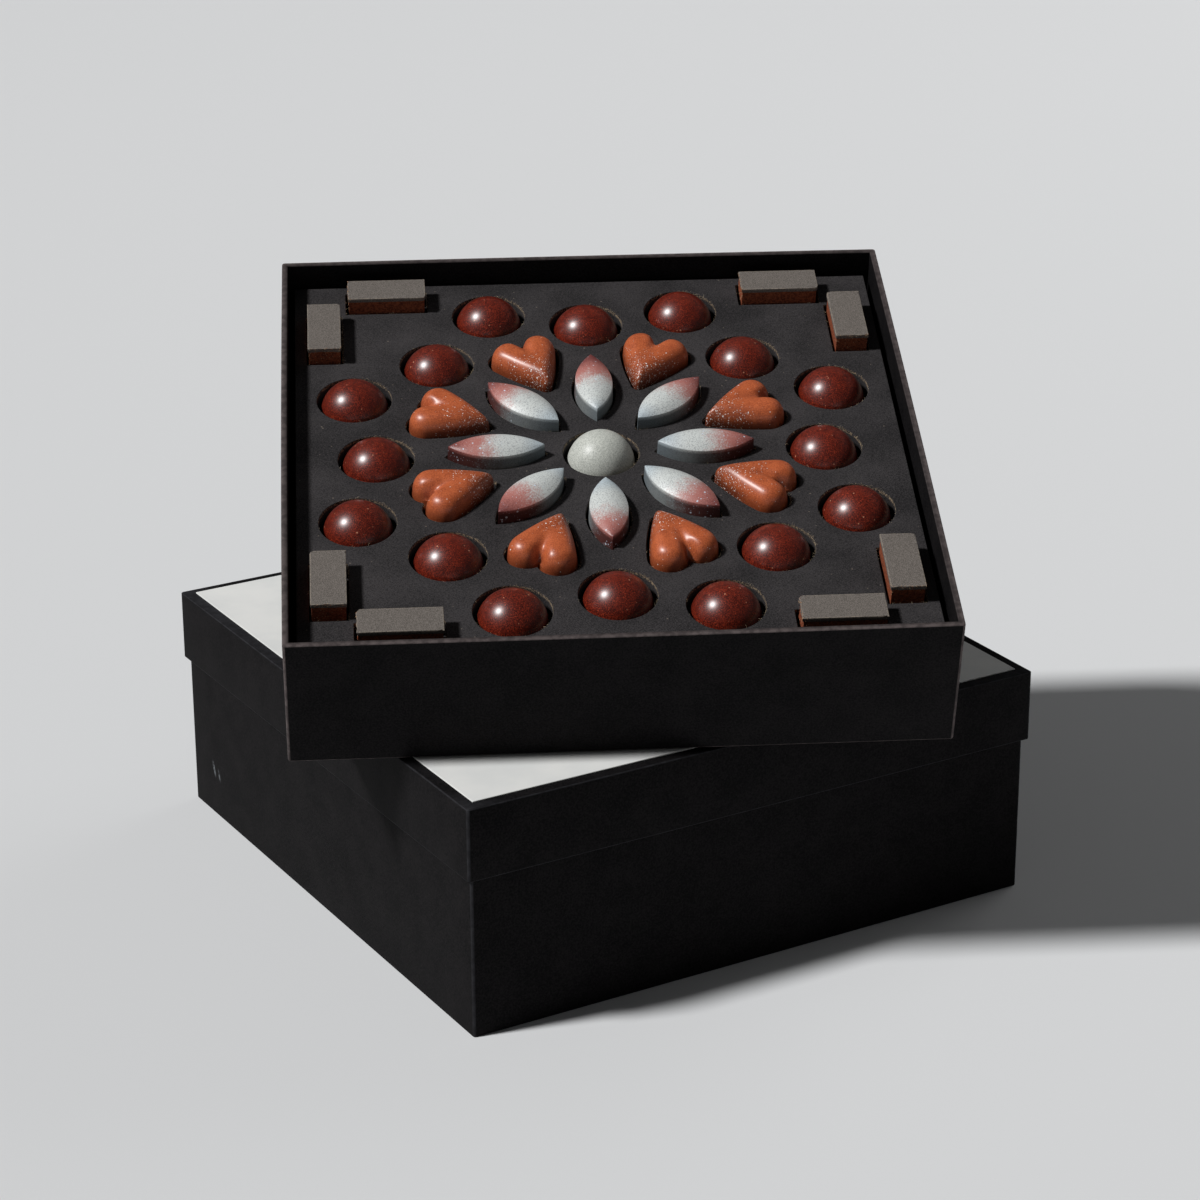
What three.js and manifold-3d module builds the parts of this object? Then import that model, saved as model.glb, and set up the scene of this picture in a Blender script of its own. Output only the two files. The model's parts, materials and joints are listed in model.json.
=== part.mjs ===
// Box of chocolates: a closed gift box with a lift-off lid carries an open tray, propped at a slant,
// whose die-cut insert holds a rosette of moulded chocolates.
// Millimetres, +Z up, front towards -Y. The origin is the centre of the closed box's underside.
import * as THREE from 'three';
import { mergeVertices } from 'three/addons/utils/BufferGeometryUtils.js';
import Module from 'manifold-3d';

const wasm = await Module();
wasm.setup();

// Moulded chocolates: each stands on the floor of its pocket. Lengths and widths are those of the upper edge;
// below it the sides widen by the mould draft down to the foot.
const domeDiameter = 28;
const domeHeight = 14.6;
const middleDomeHeight = 15.8;
const domeSkirt = 0.8;
const petalLength = 39;
const petalWidth = 15.4;
const petalWall = 11.4;
const petalCrown = 4.2;
const heartLength = 32;
const heartWidth = 28;
const heartLobeRadius = 7.4;
const heartTipRadius = 2;
const heartSideBulge = 0.8;
const heartWall = 7.2;
const heartCrown = 7.8;
const heartRidgeDepth = 0.76;
const heartGrooveDepth = 4;
const heartGrooveWidth = 2.3;
const heartGrooveLength = 15;
const barLength = 33.4;
const barWidth = 14;
const barHeight = 14.4;
const barTopSheet = 1.8;
const barSheetOverhang = 0.4;
const mouldDraft = 0.5;

// Rosette: gaps along each spoke, from the middle out, and from the insert's edge in
const spokes = 8;
const middleToPetal = 9;
const petalToDome = 15;
const heartSetback = 5.7;
const heartToDome = 13.1;
const domeToEdge = 8.9;
const barToEdge = 5.5;
const barToBar = 3;

// Pocket clearance round each kind of chocolate
const domePocketClearance = 1.5;
const petalPocketClearance = 1.4;
const heartPocketClearance = 1.4;
const barPocketClearance = 0.7;

// Insert, its platform and the tray
const insertThickness = 7;
const insertRecess = 10.5;
const insertClearance = 2.5;
const platformBoard = 2;
const trayHeight = 57.5;
const trayBoard = 2.5;
const trayYaw = THREE.MathUtils.degToRad(-26.15);
const trayTilt = THREE.MathUtils.degToRad(17.87);
const trayForward = 4.9;

// Closed box, its lid and the block that props the tray
const baseHeight = 95.1;
const baseBoard = 2;
const lidSkirt = 30;
const lidBoard = 1.5;
const lidClearance = 0.5;
const panelBorder = 5;
const panelThickness = 0.6;
const propWidth = 120;
const propDepth = 70;
const propSetback = 10;

// Shared values
const cornerRadius = 1.2;
const seatGap = 0.3;

// Facets: steps of each arc, the rings of a swelling top, from its edge at 1 towards its middle at 0,
// and the samples on each side of an outline that its depth is taken from
const cornerSteps = 3;
const roundSteps = 20;
const domeSteps = 4;
const lensSteps = 8;
const lobeSteps = 7;
const tipSteps = 2;
const petalRings = [1, 0.65, 0.3];
const heartRings = [0.96, 0.87, 0.68, 0.4, 0.12];
const depthSamples = 10;

// Places worked out from the sizes above
const spokeAngle = (2 * Math.PI) / spokes;
const petalRing = domeDiameter / 2 + middleToPetal + petalLength / 2;
const petalTipRadius = petalRing + petalLength / 2;
const innerDomeRing = petalTipRadius + petalToDome + domeDiameter / 2;
const heartRing = petalRing + heartSetback + heartLength / 2;
const outerDomeRing = heartRing + heartLength / 2 + heartToDome + domeDiameter / 2;
const domePocketRadius = domeDiameter / 2 + domePocketClearance;
const insertHalf = outerDomeRing * Math.cos(spokeAngle / 2) + domePocketRadius + domeToEdge;
const barAcross = insertHalf - barToEdge - barWidth / 2;
const barAlong = insertHalf - barToEdge - barWidth - barToBar - barLength / 2;
const insertSide = 2 * insertHalf;
const traySide = insertSide + 2 * (insertClearance + trayBoard);
const trayFloorSide = traySide - 2 * (trayBoard + seatGap);
const insertTop = trayHeight - insertRecess;
const platformBottom = trayBoard + seatGap;
const platformTop = insertTop - insertThickness - seatGap;
const pocketFloor = platformTop + seatGap;
const baseSide = traySide;
const lidSide = baseSide + 2 * (lidClearance + lidBoard);
const lidTop = baseHeight + seatGap + lidBoard;
const panelTop = lidTop + panelThickness;
const panelSide = lidSide - 2 * panelBorder;

// Merges shared corners so that a geometry is one closed skin
function closedSkin(geometry) {
  geometry.deleteAttribute('normal');
  geometry.deleteAttribute('uv');
  return mergeVertices(geometry);
}

function toSolid(geometry) {
  const skin = closedSkin(geometry);
  const vertProperties = new Float32Array(skin.attributes.position.array);
  const triVerts = new Uint32Array(skin.index.array);
  return new wasm.Manifold(new wasm.Mesh({ numProp: 3, vertProperties, triVerts }));
}

function fromSolid(solid) {
  const { vertProperties, triVerts } = solid.getMesh();
  const geometry = new THREE.BufferGeometry();
  geometry.setAttribute('position', new THREE.BufferAttribute(vertProperties, 3));
  geometry.setIndex(new THREE.BufferAttribute(triVerts, 1));
  return geometry;
}

function arcPoints(x, y, radius, from, to, steps) {
  const points = [];
  for (let i = 0; i <= steps; i += 1) {
    const angle = from + ((to - from) * i) / steps;
    points.push(new THREE.Vector2(x + radius * Math.cos(angle), y + radius * Math.sin(angle)));
  }
  return points;
}

function circleOutline(radius) {
  return arcPoints(0, 0, radius, 0, 2 * Math.PI, roundSteps).slice(0, -1);
}

function rectangleOutline(length, width) {
  return [[-1, -1], [1, -1], [1, 1], [-1, 1]].map(
    ([x, y]) => new THREE.Vector2((x * length) / 2, (y * width) / 2),
  );
}

function squareOutline(side, radius) {
  const middle = side / 2 - radius;
  const corners = [[1, 1], [-1, 1], [-1, -1], [1, -1]];
  return corners.flatMap(([x, y], quarter) => {
    const from = (quarter * Math.PI) / 2;
    return arcPoints(x * middle, y * middle, radius, from, from + Math.PI / 2, cornerSteps);
  });
}

// Lens: two equal arcs that meet in points on the x axis
function lensOutline(length, width) {
  const radius = (length * length + width * width) / (4 * width);
  const drop = radius - width / 2;
  const reach = Math.asin(length / (2 * radius));
  const upper = arcPoints(0, -drop, radius, Math.PI / 2 - reach, Math.PI / 2 + reach, lensSteps);
  const lower = upper.map((point) => point.clone().negate());
  return [...upper.slice(0, -1), ...lower.slice(0, -1)];
}

// Heart with its tip towards -x: a round lobe on each side of the cleft, and flanks that bulge a little
function heartOutline(length, width, lobeRadius, tipRadius) {
  const lobe = new THREE.Vector2(length / 2 - lobeRadius, width / 2 - lobeRadius);
  const tip = new THREE.Vector2(-length / 2 + tipRadius, 0);
  const lean = Math.atan2(lobe.y, lobe.x - tip.x);
  const tangent = lean + Math.acos((lobeRadius - tipRadius) / lobe.distanceTo(tip));
  const cleftAngle = -Math.asin(Math.min(1, lobe.y / lobeRadius));
  const lobeArc = arcPoints(lobe.x, lobe.y, lobeRadius, cleftAngle, tangent, lobeSteps);
  const tipArc = arcPoints(tip.x, tip.y, tipRadius, tangent, Math.PI, tipSteps);
  const bulge = new THREE.Vector2(Math.cos(tangent), Math.sin(tangent)).multiplyScalar(heartSideBulge);
  const flankMiddle = lobeArc.at(-1).clone().lerp(tipArc[0], 0.5).add(bulge);
  const half = [...lobeArc.slice(1), flankMiddle, ...tipArc.slice(0, -1)];
  const mirrored = half.map((point) => new THREE.Vector2(point.x, -point.y)).reverse();
  return [new THREE.Vector2(lobeArc[0].x, 0), ...half, tipArc.at(-1), ...mirrored];
}

// Depth of a point inside an outline: its distance from the rim, blended over the whole rim, so that a top
// that rises with it has round ridges. The fourth power keeps the nearest stretch of rim the strongest.
function softDepth(point, outline) {
  let pull = 0;
  outline.forEach((start, i) => {
    const end = outline[(i + 1) % outline.length];
    const step = start.distanceTo(end) / depthSamples;
    for (let sample = 0.5; sample < depthSamples; sample += 1) {
      const rim = start.clone().lerp(end, sample / depthSamples);
      pull += step / point.distanceToSquared(rim) ** 2;
    }
  });
  return Math.cbrt(Math.PI / 2 / pull);
}

// Solid through level rings of equally many points, counter-clockwise from above, lowest ring first
function loftedSkin(rings) {
  const count = rings[0].length;
  const corners = rings.flat().flatMap((corner) => [corner.x, corner.y, corner.z]);
  const triangles = [];
  for (let ring = 0; ring + 1 < rings.length; ring += 1) {
    for (let i = 0; i < count; i += 1) {
      const low = ring * count + i;
      const lowNext = ring * count + ((i + 1) % count);
      triangles.push(low, lowNext, lowNext + count, low, lowNext + count, low + count);
    }
  }
  const flat = (ring) => ring.map((corner) => new THREE.Vector2(corner.x, corner.y));
  const lastRing = (rings.length - 1) * count;
  for (const [a, b, c] of THREE.ShapeUtils.triangulateShape(flat(rings[0]), [])) {
    triangles.push(a, c, b);
  }
  for (const [a, b, c] of THREE.ShapeUtils.triangulateShape(flat(rings.at(-1)), [])) {
    triangles.push(lastRing + a, lastRing + b, lastRing + c);
  }
  const geometry = new THREE.BufferGeometry();
  geometry.setAttribute('position', new THREE.Float32BufferAttribute(corners, 3));
  geometry.setIndex(triangles);
  return geometry;
}

function extrudedSkin(outline, depth) {
  const shape = new THREE.Shape(outline);
  return closedSkin(new THREE.ExtrudeGeometry(shape, { depth, bevelEnabled: false }));
}

// Solid with one section all along the x axis: the section's points are [y, z]
function longSkin(section, length) {
  const outline = section.map(([y, z]) => new THREE.Vector2(y, z));
  const alongX = new THREE.Matrix4().makeBasis(
    new THREE.Vector3(0, 1, 0),
    new THREE.Vector3(0, 0, 1),
    new THREE.Vector3(1, 0, 0),
  );
  return extrudedSkin(outline, length).translate(0, 0, -length / 2).applyMatrix4(alongX);
}

// Board box, open at the top, with its floor at z = 0
function openBox(side, height, board) {
  const outside = extrudedSkin(squareOutline(side, cornerRadius), height);
  const inside = extrudedSkin(rectangleOutline(side - 2 * board, side - 2 * board), height);
  return fromSolid(toSolid(outside).subtract(toSolid(inside.translate(0, 0, board))));
}

// The same box turned over, open at the bottom, with its rim at z = 0
function coverBox(side, height, board) {
  return openBox(side, height, board).rotateX(Math.PI).translate(0, 0, height);
}

// Dome: a half ball on a short upright skirt
function domeSkin(height) {
  const radius = domeDiameter / 2;
  const ball = arcPoints(0, 0, 1, 0, Math.PI / 2, domeSteps).map(
    (point) => new THREE.Vector2(radius * point.x, domeSkirt + (height - domeSkirt) * point.y),
  );
  ball[domeSteps].x = 0;
  const profile = [
    new THREE.Vector2(0, 0),
    new THREE.Vector2(radius, 0),
    ...ball,
  ];
  return closedSkin(new THREE.LatheGeometry(profile, roundSteps).rotateX(Math.PI / 2));
}

// Petal: a lens with steep sides under a top that swells to the middle
function petalSkin() {
  const edge = lensOutline(petalLength, petalWidth);
  const foot = lensOutline(petalLength + 2 * mouldDraft, petalWidth + 2 * mouldDraft);
  const level = (outline, share, z) =>
    outline.map((point) => new THREE.Vector3(share * point.x, share * point.y, z));
  const swell = petalRings.map((share) => level(edge, share, petalWall + petalCrown * (1 - share * share)));
  return loftedSkin([level(foot, 1, 0), ...swell]);
}

// Heart: a pillow on steep sides that is full at a share of the middle's depth, with a groove that fades
// from the cleft towards the middle
function heartSkin() {
  const edge = heartOutline(heartLength, heartWidth, heartLobeRadius, heartTipRadius);
  const foot = heartOutline(
    heartLength + 2 * mouldDraft,
    heartWidth + 2 * mouldDraft,
    heartLobeRadius + mouldDraft,
    heartTipRadius + mouldDraft,
  );
  const level = (outline, z) => outline.map((point) => new THREE.Vector3(point.x, point.y, z));
  const fullDepth = heartRidgeDepth * softDepth(new THREE.Vector2(0, 0), edge);
  const cleft = edge[0].x;
  const height = (place) => {
    const slope = 1 - Math.min(1, softDepth(place, edge) / fullDepth);
    const fade = Math.max(0, 1 - (cleft - place.x) / heartGrooveLength) ** 2;
    const groove = heartGrooveDepth * fade * Math.exp(-((place.y / heartGrooveWidth) ** 2));
    return heartWall + Math.max(0, heartCrown * Math.sqrt(1 - slope * slope) - groove);
  };
  const pillow = heartRings.map((share) =>
    edge.map((point) => {
      const place = point.clone().multiplyScalar(share);
      return new THREE.Vector3(place.x, place.y, height(place));
    }),
  );
  return loftedSkin([level(foot, 0), level(edge, heartWall), ...pillow]);
}

// Bar: a sawn block under a thin top sheet that stands a little proud of its long sides
function barSkin() {
  const sheet = barWidth / 2;
  const block = sheet - barSheetOverhang;
  const step = barHeight - barTopSheet;
  const half = [[block, 0], [block, step], [sheet, step], [sheet, barHeight]];
  const otherHalf = half.map(([across, up]) => [-across, up]).reverse();
  return longSkin([...half, ...otherHalf], barLength);
}

// Every chocolate's kind, node name and place on the insert
function rosettePlaces() {
  const places = [{ kind: 'middle', name: 'white_dome', x: 0, y: 0, turn: 0 }];
  const onSpoke = (kind, name, ring, turn) =>
    places.push({ kind, name, x: ring * Math.cos(turn), y: ring * Math.sin(turn), turn });
  for (let spoke = 0; spoke < spokes; spoke += 1) {
    const turn = spoke * spokeAngle;
    const between = turn + spokeAngle / 2;
    onSpoke('petal', `petal_${spoke + 1}`, petalRing, turn);
    onSpoke('heart', `heart_${spoke + 1}`, heartRing, between);
    onSpoke('dome', `marbled_dome_${2 * spoke + 1}`, innerDomeRing, turn);
    onSpoke('dome', `marbled_dome_${2 * spoke + 2}`, outerDomeRing, between);
  }
  [[1, 1], [-1, 1], [-1, -1], [1, -1]].forEach(([x, y], corner) => {
    const lengthwise = { x: x * barAlong, y: y * barAcross, turn: 0 };
    const crosswise = { x: x * barAcross, y: y * barAlong, turn: Math.PI / 2 };
    places.push({ kind: 'bar', name: `bar_${2 * corner + 1}`, ...lengthwise });
    places.push({ kind: 'bar', name: `bar_${2 * corner + 2}`, ...crosswise });
  });
  return places;
}

// Pocket outlines: each chocolate's own outline, grown by its clearance
const pocketOutlines = {
  middle: circleOutline(domePocketRadius),
  dome: circleOutline(domePocketRadius),
  petal: lensOutline(petalLength + 2 * petalPocketClearance, petalWidth + 2 * petalPocketClearance),
  heart: heartOutline(
    heartLength + 2 * heartPocketClearance,
    heartWidth + 2 * heartPocketClearance,
    heartLobeRadius + heartPocketClearance,
    heartTipRadius + heartPocketClearance,
  ),
  bar: rectangleOutline(barLength + 2 * barPocketClearance, barWidth + 2 * barPocketClearance),
};

// Tray wall: the front one, whose ends are mitred where the grooved board folds up into the next wall
function trayWallSkin() {
  const outside = -traySide / 2;
  const halfLength = traySide / 2 - seatGap / Math.SQRT2;
  const corners = [
    [-halfLength, outside],
    [halfLength, outside],
    [halfLength - trayBoard, outside + trayBoard],
    [trayBoard - halfLength, outside + trayBoard],
  ];
  return extrudedSkin(corners.map(([x, y]) => new THREE.Vector2(x, y)), trayHeight);
}

// Insert: a plate with a pocket for every chocolate, cut by a die twice as deep as the plate
function insertSkin(places) {
  const plate = toSolid(extrudedSkin(rectangleOutline(insertSide, insertSide), insertThickness));
  const pockets = places.map(({ kind, x, y, turn }) => {
    const die = extrudedSkin(pocketOutlines[kind], 2 * insertThickness);
    return toSolid(die.rotateZ(turn).translate(x, y, -insertThickness / 2));
  });
  return fromSolid(pockets.reduce((solid, pocket) => solid.subtract(pocket), plate));
}

// Prop: a block whose slanted top lies along the tray's underside, just behind the tray's middle
function propSkin() {
  const near = (traySide / 2) * Math.cos(trayTilt) + propSetback;
  const far = near + propDepth;
  const underTray = (distance) => distance * Math.tan(trayTilt) - seatGap / Math.cos(trayTilt);
  const section = [[near, 0], [far, 0], [far, underTray(far)], [near, underTray(near)]];
  return longSkin(section, propWidth);
}

function namedPiece(name, geometry, [color, roughness]) {
  const material = new THREE.MeshStandardMaterial({ color, roughness, metalness: 0, flatShading: true });
  const piece = new THREE.Mesh(geometry, material);
  piece.name = name;
  return piece;
}

// Finishes: colour and roughness
const blackPaper = [0x1a1718, 0.75];
const whiteCard = [0xe9e9e6, 0.6];
const charcoalBoard = [0x2d2a2a, 0.9];
const finishes = {
  middle: [0xbec3b9, 0.4],
  dome: [0x5a2319, 0.25],
  petal: [0xa8a0a0, 0.4],
  heart: [0x964b28, 0.35],
  bar: [0x5f5850, 0.8],
};

const boxOfChocolates = new THREE.Group();

// Closed box
const base = namedPiece('box_base', openBox(baseSide, baseHeight, baseBoard), blackPaper);
const lid = namedPiece('box_lid', coverBox(lidSide, lidSkirt, lidBoard), blackPaper);
lid.position.z = lidTop - lidSkirt;
const panelOutline = rectangleOutline(panelSide, panelSide);
const panel = namedPiece('lid_panel', extrudedSkin(panelOutline, panelThickness), whiteCard);
panel.position.z = lidTop;
boxOfChocolates.add(base, lid, panel);

// The tray turns with this group, whose origin is the middle of the tray's lower front edge
const turned = new THREE.Group();
turned.rotation.z = trayYaw;
turned.position.set(0, -(traySide / 2) * Math.cos(trayTilt), 0);
turned.position.applyAxisAngle(new THREE.Vector3(0, 0, 1), trayYaw);
turned.position.add(new THREE.Vector3(0, -trayForward, panelTop + seatGap));
boxOfChocolates.add(turned);
turned.add(namedPiece('tray_prop', propSkin(), blackPaper));

const tilted = new THREE.Group();
tilted.rotation.x = trayTilt;
turned.add(tilted);

// Tray and insert, round the middle of the tray
const rosette = new THREE.Group();
rosette.position.y = traySide / 2;
tilted.add(rosette);
const floorOutline = rectangleOutline(trayFloorSide, trayFloorSide);
rosette.add(namedPiece('tray_floor', extrudedSkin(floorOutline, trayBoard), blackPaper));
['front', 'right', 'back', 'left'].forEach((side, quarter) => {
  const wall = namedPiece(`tray_${side}`, trayWallSkin(), blackPaper);
  wall.rotation.z = (quarter * Math.PI) / 2;
  rosette.add(wall);
});

const platformSkin = coverBox(insertSide, platformTop - platformBottom, platformBoard);
const platform = namedPiece('insert_platform', platformSkin, charcoalBoard);
platform.position.z = platformBottom;
const places = rosettePlaces();
const insert = namedPiece('die_cut_insert', insertSkin(places), charcoalBoard);
insert.position.z = insertTop - insertThickness;
rosette.add(platform, insert);

// Chocolates
const skins = {
  middle: domeSkin(middleDomeHeight),
  dome: domeSkin(domeHeight),
  petal: petalSkin(),
  heart: heartSkin(),
  bar: barSkin(),
};
for (const { kind, name, x, y, turn } of places) {
  const chocolate = namedPiece(name, skins[kind], finishes[kind]);
  chocolate.position.set(x, y, pocketFloor);
  chocolate.rotation.z = turn;
  rosette.add(chocolate);
}

export default boxOfChocolates;
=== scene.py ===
import json
import random
from math import acos, asin, atan2, cos, exp, hypot, pi, radians, sin, sqrt

import bmesh
import bpy
from mathutils import Matrix, Vector, noise


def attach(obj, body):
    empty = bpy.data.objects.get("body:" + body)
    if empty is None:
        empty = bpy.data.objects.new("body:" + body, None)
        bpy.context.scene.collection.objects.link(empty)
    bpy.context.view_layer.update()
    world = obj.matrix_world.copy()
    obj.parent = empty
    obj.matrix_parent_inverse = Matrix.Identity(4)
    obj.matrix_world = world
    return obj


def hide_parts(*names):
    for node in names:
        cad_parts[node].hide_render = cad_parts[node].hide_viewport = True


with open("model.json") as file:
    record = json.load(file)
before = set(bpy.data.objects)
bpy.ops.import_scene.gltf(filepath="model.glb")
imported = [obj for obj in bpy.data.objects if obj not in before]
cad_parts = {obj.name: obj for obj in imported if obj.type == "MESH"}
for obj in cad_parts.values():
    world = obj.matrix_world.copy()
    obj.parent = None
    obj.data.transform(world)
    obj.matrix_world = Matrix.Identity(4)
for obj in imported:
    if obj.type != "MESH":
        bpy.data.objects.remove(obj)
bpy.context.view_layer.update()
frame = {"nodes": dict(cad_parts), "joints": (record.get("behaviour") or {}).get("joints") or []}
scene = bpy.context.scene
mm = 0.001

# Where things stand, all read from the frame
trayBoards = ["tray_floor", "tray_front", "tray_right", "tray_back", "tray_left"]
spokes = 8
spokeAngle = 2 * pi / spokes
upOfTray = next(Vector(joint["axis"]) for joint in frame["joints"] if joint["name"] == "insert_lift")
trayTurn = (
    Matrix.Rotation(atan2(upOfTray.x, -upOfTray.y), 4, "Z")
    @ Matrix.Rotation(acos(upOfTray.z), 4, "X")
)


def boxAlong(axes, nodes):  # lowest and highest corner of some nodes, measured along other axes
    back = axes.inverted()
    points = [back @ vertex.co for node in nodes for vertex in frame["nodes"][node].data.vertices]
    low = Vector([min(point[i] for point in points) for i in range(3)])
    high = Vector([max(point[i] for point in points) for i in range(3)])
    return low, high


def standOn(axes, nodes):  # the axes moved to the middle of the nodes' underside, and the nodes' size
    low, high = boxAlong(axes, nodes)
    foot = Vector(((low.x + high.x) / 2, (low.y + high.y) / 2, low.z))
    return axes @ Matrix.Translation(foot), high - low


trayAxes = standOn(trayTurn, trayBoards)[0]
insertLow, insertHigh = boxAlong(trayAxes, ["die_cut_insert"])
print("frame read")


# Shader and geometry nodes

def feed(node, values):  # links wires to a node's inputs and sets the others
    for key, value in values.items():
        if isinstance(value, Wire):
            value.tree.links.new(value.socket, node.inputs[key])
        else:
            node.inputs[key].default_value = value


class Wire:  # one socket of a node tree; sums and products of wires and numbers add Math nodes
    def __init__(self, tree, socket=None):
        self.tree = tree
        self.socket = socket

    def node(self, kind, values=None, out=0, **settings):
        made = self.tree.nodes.new(kind)
        for name, value in settings.items():
            setattr(made, name, value)
        feed(made, values or {})
        return Wire(self.tree, made.outputs[out])

    def math(self, operation, *values):
        return self.node("ShaderNodeMath", dict(enumerate(values)), operation=operation)

    def __add__(self, other):
        return self.math("ADD", self, other)

    def __sub__(self, other):
        return self.math("SUBTRACT", self, other)

    def __rsub__(self, other):
        return self.math("SUBTRACT", other, self)

    def __mul__(self, other):
        return self.math("MULTIPLY", self, other)

    def __truediv__(self, other):
        return self.math("DIVIDE", self, other)

    def __lt__(self, other):
        return self.math("LESS_THAN", self, other)

    __radd__ = __add__
    __rmul__ = __mul__


def tint(red, green, blue):  # a colour as a screen shows it, 0 to 255, in the shader's linear light
    def linear(value):
        share = value / 255
        return share / 12.92 if share <= 0.04045 else ((share + 0.055) / 1.055) ** 2.4

    return linear(red), linear(green), linear(blue), 1.0


def cloud(place, size, detail=2.0, distortion=0.0):  # soft noise whose lumps are about this size
    values = {"Vector": place, "Scale": 1 / size, "Detail": detail, "Distortion": distortion}
    return place.node("ShaderNodeTexNoise", values)


def rise(value, low, high):  # 0 below low, 1 above high, smooth between
    values = {"Value": value, "From Min": low, "From Max": high}
    return value.node("ShaderNodeMapRange", values, interpolation_type="SMOOTHSTEP")


def blend(share, first, second):  # mixes two colours
    return share.node("ShaderNodeMix", {0: share, 6: first, 7: second}, out=2, data_type="RGBA")


def parts(vector):  # x, y and z of a vector
    split = vector.node("ShaderNodeSeparateXYZ", {"Vector": vector})
    return [Wire(vector.tree, socket) for socket in split.socket.node.outputs]


fleckSpec = {"least": 0.12, "spread": 0.28, "fade": (0.7, 1.0)}  # radii as shares of a cell


def flecks(place, size, share):  # round flecks in cells of this size, in this share of the cells
    cells = place.node("ShaderNodeTexVoronoi", {"Vector": place, "Scale": 1 / size}, out="Color")
    distance = Wire(place.tree, cells.socket.node.outputs["Distance"])
    chance, spread = parts(cells)[:2]
    radius = spread * fleckSpec["spread"] + fleckSpec["least"]
    return (chance < share) * (1 - rise(distance / radius, *fleckSpec["fade"]))


def bump(height, depth):
    return height.node("ShaderNodeBump", {"Height": height, "Distance": depth})


def attribute(place, name, out="Fac"):
    return place.node("ShaderNodeAttribute", out=out, attribute_name=name)


# Finishes: colours, sizes of grains, and the noise values between which one colour passes into the next

def newFinish(name, look, paint, *extra):  # a material; its paint function says what varies over it
    material = bpy.data.materials.new(name)
    material.use_nodes = True
    place = Wire(material.node_tree).node("ShaderNodeTexCoord", out="Object")
    painted = paint(place, look, *extra)
    roughness = look["rough"] + painted["grain"] * look["roughGrain"]
    if "polish" in painted:
        roughness = roughness - painted["polish"]
    sockets = {"Base Color": painted["colour"], "Roughness": roughness, "Specular IOR Level": look["gloss"]}
    if "tooth" in look:
        sockets["Normal"] = bump(painted.get("relief", painted["grain"]), look["tooth"])
    feed(material.node_tree.nodes["Principled BSDF"], {**sockets, **look.get("coat", {})})
    return material


def twoScales(fine, coarse, share):  # fine noise with a share of coarse noise in it
    return fine * (1 - share) + coarse * share


paperLook = {
    "deep": tint(8, 8, 9), "pale": tint(28, 26, 27), "scuffed": tint(150, 156, 160),
    "grain": 0.7 * mm, "mottle": 14 * mm, "mottleShare": 0.25, "toPale": (0.32, 0.68),
    "rub": 3 * mm, "toRubbed": (0.35, 0.65), "rubLeast": 0.45, "rubMore": 0.4, "rubPolish": 0.12,
    "scuff": 1.2 * mm, "toScuffed": (0.3, 0.6), "scuffFade": (0.2, 1.0),
    "rough": 0.6, "roughGrain": 0.18, "gloss": 0.06, "tooth": 0.04 * mm,
}


def wrappedPaper(place, look, rubbed, scuffs=()):  # black wrap: fine grain, paler along the folds and the rim's flat top, partly rubbed wear and partly painted sheen
    grain = cloud(place, look["grain"], 3)
    tone = twoScales(grain, cloud(place, look["mottle"], 3), look["mottleShare"])
    colour = blend(rise(tone, *look["toPale"]), look["deep"], look["pale"])
    patches = rise(cloud(place, look["rub"], 4), *look["toRubbed"])
    # paler along the marked folds and rim top: partly rubbed wear, partly painted sheen
    rub = attribute(place, "wearAndSheen") * (look["rubLeast"] + patches * look["rubMore"])
    colour = blend(rub, colour, rubbed)
    for scuff in scuffs:
        seat = {"Location": scuff["place"], "Rotation": scuff["lean"], "Scale": scuff["size"]}
        inside = place.node("ShaderNodeMapping", {"Vector": place, **seat}, vector_type="TEXTURE")
        away = place.node("ShaderNodeVectorMath", {0: inside}, out=1, operation="LENGTH")
        broken = rise(cloud(place, look["scuff"], 3), *look["toScuffed"])
        mark = (1 - rise(away, *look["scuffFade"])) * broken
        colour = blend(mark * scuff["share"], colour, look["scuffed"])
    return {"colour": colour, "grain": grain, "polish": rub * look["rubPolish"]}


cardLook = {
    "white": tint(232, 232, 229), "shade": tint(224, 225, 223), "drift": 22 * mm, "toShade": (0.35, 0.7),
    "fibre": 0.5 * mm, "rough": 0.55, "roughGrain": 0.15, "gloss": 0.3, "tooth": 0.015 * mm,
}


def whiteCard(place, look):
    drift = rise(cloud(place, look["drift"], 3), *look["toShade"])
    return {"colour": blend(drift, look["white"], look["shade"]), "grain": cloud(place, look["fibre"], 4)}


insertLook = {
    "dark": tint(26, 25, 26), "light": tint(63, 60, 61), "toLight": (0.34, 0.66),
    "grain": 0.5 * mm, "smudge": 24 * mm, "smudgeShare": 0.3,
    "dust": tint(122, 112, 102), "speck": 1.1 * mm, "speckShare": 0.012, "speckStrength": 0.6,
    "core": tint(140, 122, 100), "cutBelow": (0.12 * mm, 0.3 * mm), "cutAbove": (0.8 * mm, 1.92 * mm),
    "ragged": 0.7 * mm, "toCore": (0.42, 0.62),
    "rough": 0.82, "roughGrain": 0.14, "gloss": 0.2, "tooth": 0.05 * mm,
}


def dusted(colour, place, look):  # a colour with a few specks of dust on it
    specks = flecks(place, look["speck"], look["speckShare"])
    return blend(specks * look["speckStrength"], colour, look["dust"])


def charcoalBoard(place, look):  # felted charcoal face with a tan core where the die has cut it
    grain = cloud(place, look["grain"], 4)
    tone = twoScales(grain, cloud(place, look["smudge"], 4), look["smudgeShare"])
    face = dusted(blend(rise(tone, *look["toLight"]), look["dark"], look["light"]), place, look)
    top = (trayAxes @ Vector((0, 0, insertHigh.z))).dot(upOfTray)
    depth = top - place.node("ShaderNodeVectorMath", {0: place, 1: upOfTray}, out=1, operation="DOT_PRODUCT")
    cut = rise(depth, *look["cutBelow"]) * (1 - rise(depth, *look["cutAbove"]))
    ragged = cut * rise(cloud(place, look["ragged"], 4), *look["toCore"])
    return {"colour": blend(ragged, face, look["core"]), "grain": grain}


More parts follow.
